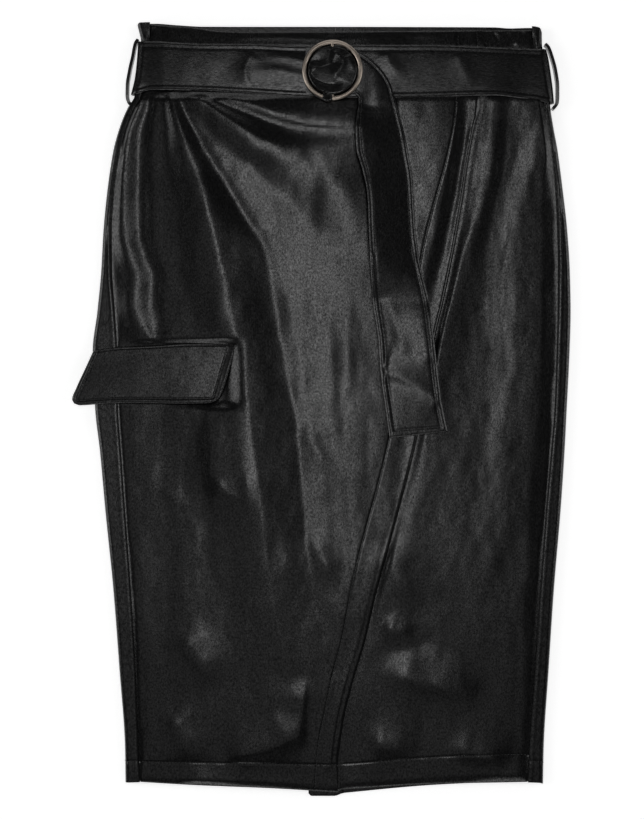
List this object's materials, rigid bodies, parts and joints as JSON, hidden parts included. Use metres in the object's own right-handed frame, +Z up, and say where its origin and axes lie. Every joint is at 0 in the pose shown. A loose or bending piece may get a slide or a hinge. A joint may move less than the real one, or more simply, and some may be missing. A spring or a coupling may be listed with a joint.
{
  "type": "wrap midi skirt with ring belt",
  "caption": "High-waist wrap midi skirt in black leatherette, laid flat, with a pocket flap and its own belt threaded through a round ring buckle.",
  "frame": {"origin": "middle of the laid skirt's footprint, on the surface that it lies on", "axes": "+Y from hem to waist, +X towards the wearer's left side, +Z up out of the front"},
  "size_m": [0.4781, 0.7446, 0.0234],
  "materials": {
    "leatherette": "black leatherette with a fine grain and a satin sheen",
    "ring_metal": "pale champagne metal, brushed lengthwise"
  },
  "bodies": {
    "root": {"front_over": "leatherette", "front_under": "leatherette", "back_right": "leatherette", "back_left": "leatherette", "vent_underlap": "leatherette", "pocket_flap": "leatherette", "belt_band": "leatherette", "belt_knot": "leatherette", "belt_tail": "leatherette", "loop_right": "leatherette", "loop_left": "leatherette", "belt_ring": "ring_metal"}
  },
  "joints": []
}
